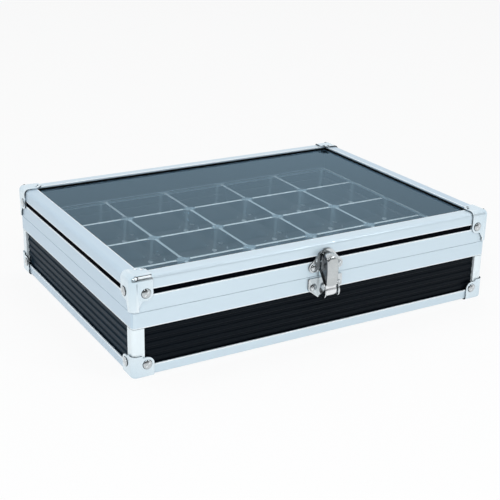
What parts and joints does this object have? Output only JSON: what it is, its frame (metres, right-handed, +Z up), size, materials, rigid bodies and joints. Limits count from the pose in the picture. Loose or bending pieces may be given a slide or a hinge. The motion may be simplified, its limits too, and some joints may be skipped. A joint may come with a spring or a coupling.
{
  "type": "display case",
  "caption": "Flat display case with aluminium frame, hinged glass lid, stamped corners, toggle latch, ribbed sides and a clear tray of cells.",
  "frame": {"origin": "middle of the whole envelope, latch and hinges included, on the surface that the case stands on", "axes": "+X along the long side, to the right seen from the latch side; +Y from the latch to the hinges; +Z up"},
  "size_m": [0.3332, 0.2592, 0.08],
  "materials": {
    "rail_aluminium": "satin, anodised",
    "stamped_steel": "bright zinc plate",
    "rivet_steel": "polished head",
    "nickel": "bright nickel plate",
    "panel_black": "fine grain",
    "strip_black": "semi-gloss",
    "gasket_rubber": "matt",
    "board_black": "black-faced fibreboard",
    "foam_black": "fine open cell",
    "glass_clear": "clear float glass",
    "tray_clear": "clear moulded"
  },
  "bodies": {
    "base": {"base_rail_front": "rail_aluminium", "foot_rail_front": "rail_aluminium", "side_panel_front": "panel_black", "base_rail_right": "rail_aluminium", "foot_rail_right": "rail_aluminium", "side_panel_right": "panel_black", "base_rail_back": "rail_aluminium", "foot_rail_back": "rail_aluminium", "side_panel_back": "panel_black", "base_rail_left": "rail_aluminium", "foot_rail_left": "rail_aluminium", "side_panel_left": "panel_black", "foot_corner_front_left": "stamped_steel", "corner_post_front_left": "rail_aluminium", "foot_corner_front_right": "stamped_steel", "corner_post_front_right": "rail_aluminium", "foot_corner_back_right": "stamped_steel", "corner_post_back_right": "rail_aluminium", "foot_corner_back_left": "stamped_steel", "corner_post_back_left": "rail_aluminium", "floor_board": "board_black", "foam_bed": "foam_black", "cell_tray": "tray_clear", "latch_base_plate": "nickel", "latch_base_rivet_left": "rivet_steel", "latch_pivot_left": "rivet_steel", "hinge_base_leaf_left": "nickel", "hinge_pin_left": "nickel", "latch_base_rivet_right": "rivet_steel", "latch_pivot_right": "rivet_steel", "hinge_base_leaf_right": "nickel", "hinge_pin_right": "nickel"},
    "lid": {"lid_rail_front": "rail_aluminium", "lid_rail_right": "rail_aluminium", "lid_rail_back": "rail_aluminium", "lid_rail_left": "rail_aluminium", "groove_strip_front": "strip_black", "groove_strip_right": "strip_black", "groove_strip_back": "strip_black", "groove_strip_left": "strip_black", "lid_core_front": "board_black", "lid_core_right": "board_black", "lid_core_back": "board_black", "lid_core_left": "board_black", "lid_corner_front_left": "stamped_steel", "lid_corner_front_right": "stamped_steel", "lid_corner_back_right": "stamped_steel", "lid_corner_back_left": "stamped_steel", "lid_glass": "glass_clear", "glass_gasket": "gasket_rubber", "latch_catch": "nickel", "latch_catch_rivet_left": "rivet_steel", "latch_catch_rivet_right": "rivet_steel", "hinge_lid_leaf_left": "nickel", "hinge_lid_leaf_right": "nickel"},
    "latch_lever": {"latch_lever": "nickel"},
    "latch_bail": {"latch_bail": "nickel"}
  },
  "joints": [
    {"name": "lid_hinge", "type": "hinge", "parent": "base", "child": "lid", "pos_m": [0, 0.12698, 0.052], "axis": [-1, 0, 0], "range_deg": [0, 105]},
    {"name": "latch_lever_pivot", "type": "hinge", "parent": "base", "child": "latch_lever", "pos_m": [0, -0.12318, 0.0415], "axis": [1, 0, 0], "range_deg": [0, 130]},
    {"name": "latch_bail_pivot", "type": "hinge", "parent": "latch_lever", "child": "latch_bail", "pos_m": [0, -0.12345, 0.0383], "axis": [1, 0, 0], "range_deg": [-114, 0]}
  ],
  "couplings": [
    {"joint": "latch_bail_pivot", "follows": "latch_lever_pivot", "ratio": -0.87}
  ]
}
